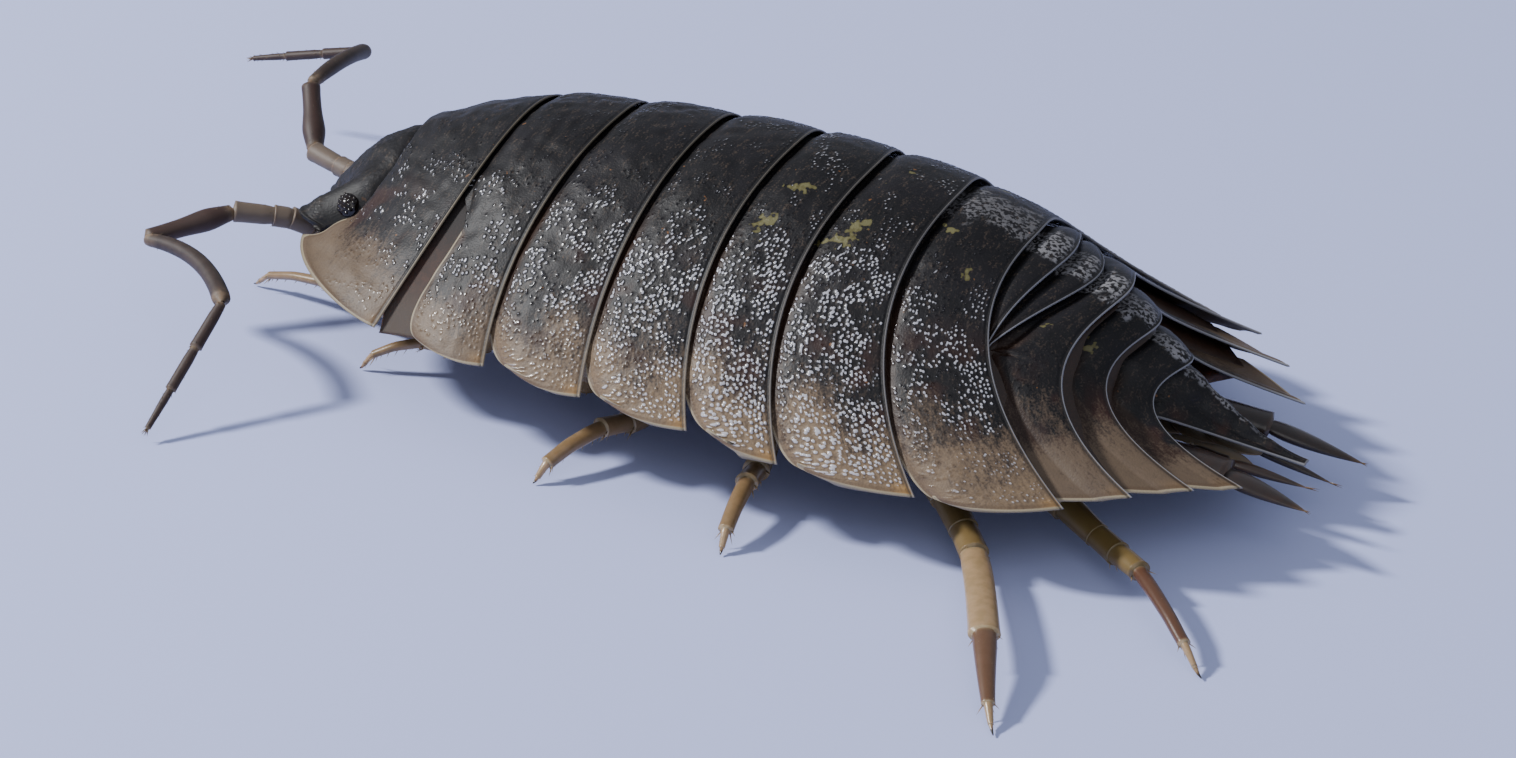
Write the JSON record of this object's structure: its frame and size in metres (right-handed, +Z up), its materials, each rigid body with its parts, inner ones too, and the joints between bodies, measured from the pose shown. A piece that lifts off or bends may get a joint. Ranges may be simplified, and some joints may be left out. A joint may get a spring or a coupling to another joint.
{
  "type": "woodlouse model",
  "caption": "Still life-size woodlouse: overlapping shell plates with flared side lobes, a low head with small black eyes, bent feelers, pale legs and a pointed tail with forked feet.",
  "frame": {"origin": "centre of the model's box at the level of the feet", "axes": "+Z up from the feet to the back, -X towards the head, +X towards the tail, -Y towards the animal's left side"},
  "size_m": [0.0206, 0.013, 0.0042],
  "materials": {
    "shell": "grained glossy horn, near black with pale cream lobe margins",
    "pale_limb": "thin waxy horn, pale tan",
    "feeler": "dull grey-brown horn with paler joints",
    "eye": "glossy black facets",
    "tail_brown": "glossy dark brown horn with tan tips"
  },
  "bodies": {
    "root": {"head": "shell", "pereonite_1": "shell", "pereonite_2": "shell", "pereonite_3": "shell", "pereonite_4": "shell", "pereonite_5": "shell", "pereonite_6": "shell", "pereonite_7": "shell", "pleonite_1": "shell", "pleonite_2": "shell", "pleonite_3": "shell", "pleonite_4": "shell", "pleonite_5": "shell", "telson": "shell", "eye_left": "eye", "eye_right": "eye", "antenna_left_base": "feeler", "antenna_left_article_4": "feeler", "antenna_left_article_5": "feeler", "antenna_left_flagellum": "feeler", "antenna_right_base": "feeler", "antenna_right_article_4": "feeler", "antenna_right_article_5": "feeler", "antenna_right_flagellum": "feeler", "leg_left_1": "pale_limb", "leg_left_2": "pale_limb", "leg_left_3": "pale_limb", "leg_left_4": "pale_limb", "leg_left_5": "pale_limb", "leg_left_6": "pale_limb", "leg_left_7": "pale_limb", "leg_right_1": "pale_limb", "leg_right_2": "pale_limb", "leg_right_3": "pale_limb", "leg_right_4": "pale_limb", "leg_right_5": "pale_limb", "leg_right_6": "pale_limb", "leg_right_7": "pale_limb", "uropod_left": "tail_brown", "endopod_left": "tail_brown", "uropod_right": "tail_brown", "endopod_right": "tail_brown"}
  },
  "joints": []
}
